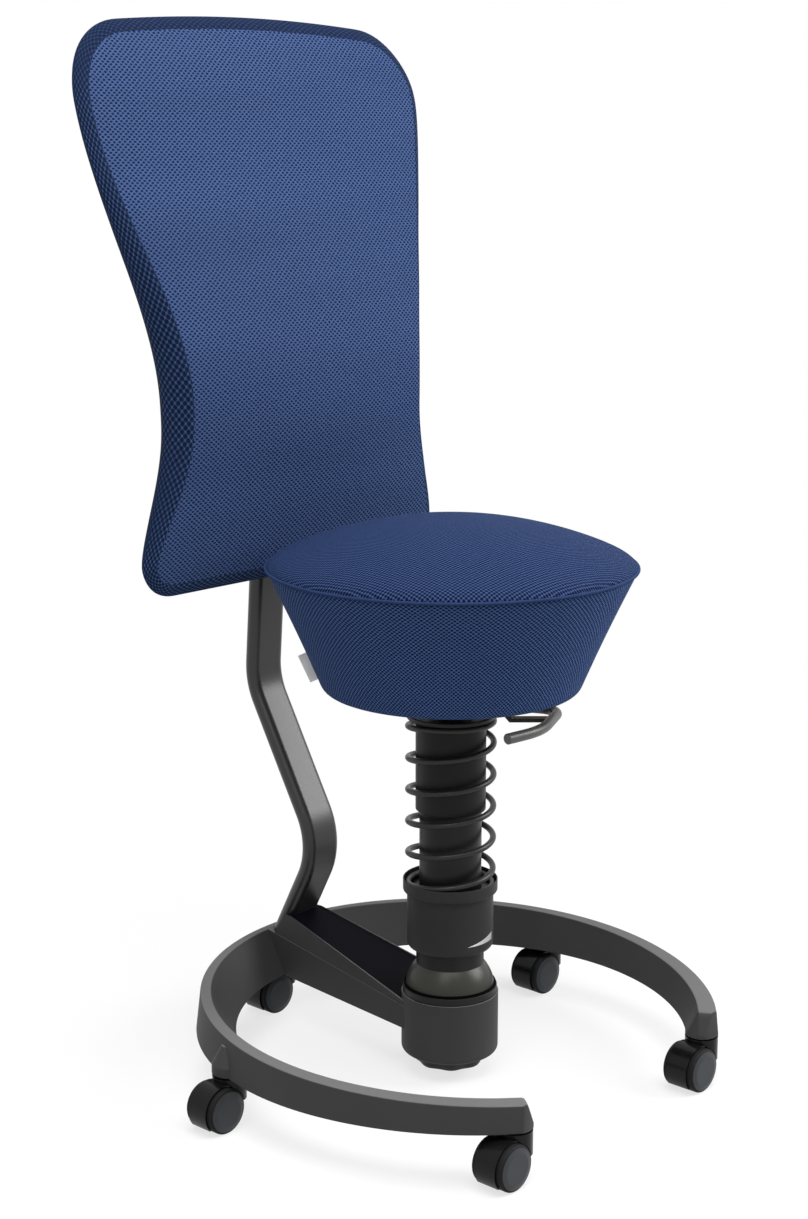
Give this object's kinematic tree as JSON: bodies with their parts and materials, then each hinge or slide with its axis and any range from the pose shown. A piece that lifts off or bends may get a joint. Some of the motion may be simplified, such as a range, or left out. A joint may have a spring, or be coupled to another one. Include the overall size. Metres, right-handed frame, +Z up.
{
  "type": "balance stool",
  "caption": "Active office stool: round mesh seat on a spring column that tilts over an open castor ring, with a tall curved back on a bent mast.",
  "frame": {"origin": "on the floor, on the axis of the upright column", "axes": "+Z up; the sitter faces -Y, the back is on +Y and the sitter's right is -X"},
  "size_m": [0.6108, 0.5885, 1.1769],
  "materials": {
    "ring_metal": "satin black powder coat",
    "steel_black": "satin black powder coat",
    "steel": "ground and oiled",
    "spring_steel": "black, oiled",
    "black_plastic": "fine grain",
    "bush_plastic": "smooth",
    "dome_plastic": "semi-gloss olive black",
    "tread": "soft tread",
    "rubber": "matt",
    "seat_fabric": "blue spacer mesh over foam",
    "back_fabric": "blue spacer mesh over foam",
    "piping": "piped seam",
    "tag": "woven, bare",
    "board": "pressed plywood"
  },
  "bodies": {
    "base": {"base_ring": "ring_metal", "base_arm": "ring_metal", "hub_collar": "black_plastic", "mast_shoe": "ring_metal", "arm_cover": "black_plastic", "rubber_ring": "rubber", "backrest_mast": "ring_metal", "backrest_bracket": "steel_black", "backrest_shell": "black_plastic", "backrest_pad": "back_fabric", "backrest_screws": "steel"},
    "cross": {"tilt_cross": "steel"},
    "column": {"column_foot": "ring_metal", "joint_dome": "dome_plastic", "lower_tube": "steel_black", "guide_bushes": "bush_plastic", "coil_spring": "spring_steel"},
    "knob": {"stiffness_knob": "black_plastic"},
    "cup": {"spring_cup": "black_plastic", "spring_seat": "steel_black"},
    "strut": {"guide_tube": "steel_black", "upper_sleeve": "black_plastic", "spring_plate": "steel_black", "lift_bush": "bush_plastic", "thrust_bearing": "steel"},
    "rod": {"piston_rod": "steel", "rod_clip": "steel"},
    "seat": {"gas_cylinder": "steel_black", "seat_carrier": "steel_black", "lever_pin": "steel", "seat_pan": "board", "seat_screws": "steel", "seat_cushion": "seat_fabric", "seat_piping": "piping", "seat_tag": "tag"},
    "lever": {"release_lever": "steel_black"},
    "valve": {"valve_button": "steel"},
    "castor_back": {"castor_back_hood": "black_plastic", "castor_back_pins": "steel"},
    "castor_back_wheel_front": {"castor_back_wheel_front": "tread"},
    "castor_back_wheel_rear": {"castor_back_wheel_rear": "tread"},
    "castor_right": {"castor_right_hood": "black_plastic", "castor_right_pins": "steel"},
    "castor_right_wheel_front": {"castor_right_wheel_front": "tread"},
    "castor_right_wheel_rear": {"castor_right_wheel_rear": "tread"},
    "castor_front_right": {"castor_front_right_hood": "black_plastic", "castor_front_right_pins": "steel"},
    "castor_front_right_wheel_front": {"castor_front_right_wheel_front": "tread"},
    "castor_front_right_wheel_rear": {"castor_front_right_wheel_rear": "tread"},
    "castor_left": {"castor_left_hood": "black_plastic", "castor_left_pins": "steel"},
    "castor_left_wheel_front": {"castor_left_wheel_front": "tread"},
    "castor_left_wheel_rear": {"castor_left_wheel_rear": "tread"},
    "castor_front_left": {"castor_front_left_hood": "black_plastic", "castor_front_left_pins": "steel"},
    "castor_front_left_wheel_front": {"castor_front_left_wheel_front": "tread"},
    "castor_front_left_wheel_rear": {"castor_front_left_wheel_rear": "tread"}
  },
  "joints": [
    {"name": "tilt_fore", "type": "hinge", "parent": "base", "child": "cross", "pos_m": [0, 0, 0.096], "axis": [1, 0, 0], "range_deg": [-0.8, 8], "stiffness_Nm_per_rad": 500},
    {"name": "tilt_side", "type": "hinge", "parent": "cross", "child": "column", "pos_m": [0, 0, 0.096], "axis": [0, 1, 0], "range_deg": [-8, 8], "stiffness_Nm_per_rad": 500},
    {"name": "knob_turn", "type": "hinge", "parent": "base", "child": "knob", "pos_m": [0, 0, 0.017], "axis": [0, 0, 1], "range_deg": [0, 270]},
    {"name": "cup_turn", "type": "hinge", "parent": "column", "child": "cup", "pos_m": [0, 0, 0.19], "axis": [0, 0, 1], "range_deg": [0, 360]},
    {"name": "bounce", "type": "slide", "parent": "column", "child": "strut", "axis": [0, 0, 1], "range_m": [-0.05, 0], "stiffness_N_per_m": 9000, "springref_m": 0.015, "deforming": ["coil_spring"]},
    {"name": "seat_swivel", "type": "hinge", "parent": "strut", "child": "rod", "pos_m": [0, 0, 0.28], "axis": [0, 0, 1], "continuous": true},
    {"name": "height", "type": "slide", "parent": "rod", "child": "seat", "axis": [0, 0, 1], "range_m": [0, 0.08]},
    {"name": "lever_lift", "type": "hinge", "parent": "seat", "child": "lever", "pos_m": [0.02446, -0.02641, 0.44], "axis": [-0.7337, -0.6794, 0], "range_deg": [0, 6], "stiffness_Nm_per_rad": 1.5, "springref_deg": -5.73},
    {"name": "valve_press", "type": "slide", "parent": "seat", "child": "valve", "axis": [0, 0, 1], "range_m": [-0.0038, 0]},
    {"name": "castor_back_swivel", "type": "hinge", "parent": "base", "child": "castor_back", "pos_m": [0, 0.2784, 0.05], "axis": [0, 0, 1], "continuous": true},
    {"name": "castor_back_roll_front", "type": "hinge", "parent": "castor_back", "child": "castor_back_wheel_front", "pos_m": [-0.0209, 0.2784, 0.025], "axis": [0, 1, 0], "continuous": true},
    {"name": "castor_back_roll_rear", "type": "hinge", "parent": "castor_back", "child": "castor_back_wheel_rear", "pos_m": [-0.0209, 0.2784, 0.025], "axis": [0, 1, 0], "continuous": true},
    {"name": "castor_right_swivel", "type": "hinge", "parent": "base", "child": "castor_right", "pos_m": [-0.2702, 0.07809, 0.05], "axis": [0, 0, 1], "continuous": true},
    {"name": "castor_right_roll_front", "type": "hinge", "parent": "castor_right", "child": "castor_right_wheel_front", "pos_m": [-0.2911, 0.07809, 0.025], "axis": [0, 1, 0], "continuous": true},
    {"name": "castor_right_roll_rear", "type": "hinge", "parent": "castor_right", "child": "castor_right_wheel_rear", "pos_m": [-0.2911, 0.07809, 0.025], "axis": [0, 1, 0], "continuous": true},
    {"name": "castor_front_right_swivel", "type": "hinge", "parent": "base", "child": "castor_front_right", "pos_m": [-0.16319, -0.23448, 0.05], "axis": [0, 0, 1], "continuous": true},
    {"name": "castor_front_right_roll_front", "type": "hinge", "parent": "castor_front_right", "child": "castor_front_right_wheel_front", "pos_m": [-0.18409, -0.23448, 0.025], "axis": [0, 1, 0], "continuous": true},
    {"name": "castor_front_right_roll_rear", "type": "hinge", "parent": "castor_front_right", "child": "castor_front_right_wheel_rear", "pos_m": [-0.18409, -0.23448, 0.025], "axis": [0, 1, 0], "continuous": true},
    {"name": "castor_left_swivel", "type": "hinge", "parent": "base", "child": "castor_left", "pos_m": [0.2702, 0.07809, 0.05], "axis": [0, 0, 1], "continuous": true},
    {"name": "castor_left_roll_front", "type": "hinge", "parent": "castor_left", "child": "castor_left_wheel_front", "pos_m": [0.2493, 0.07809, 0.025], "axis": [0, 1, 0], "continuous": true},
    {"name": "castor_left_roll_rear", "type": "hinge", "parent": "castor_left", "child": "castor_left_wheel_rear", "pos_m": [0.2493, 0.07809, 0.025], "axis": [0, 1, 0], "continuous": true},
    {"name": "castor_front_left_swivel", "type": "hinge", "parent": "base", "child": "castor_front_left", "pos_m": [0.16319, -0.23448, 0.05], "axis": [0, 0, 1], "continuous": true},
    {"name": "castor_front_left_roll_front", "type": "hinge", "parent": "castor_front_left", "child": "castor_front_left_wheel_front", "pos_m": [0.14229, -0.23448, 0.025], "axis": [0, 1, 0], "continuous": true},
    {"name": "castor_front_left_roll_rear", "type": "hinge", "parent": "castor_front_left", "child": "castor_front_left_wheel_rear", "pos_m": [0.14229, -0.23448, 0.025], "axis": [0, 1, 0], "continuous": true}
  ],
  "couplings": [
    {"joint": "valve_press", "follows": "lever_lift", "m_per_rad": -0.036}
  ]
}
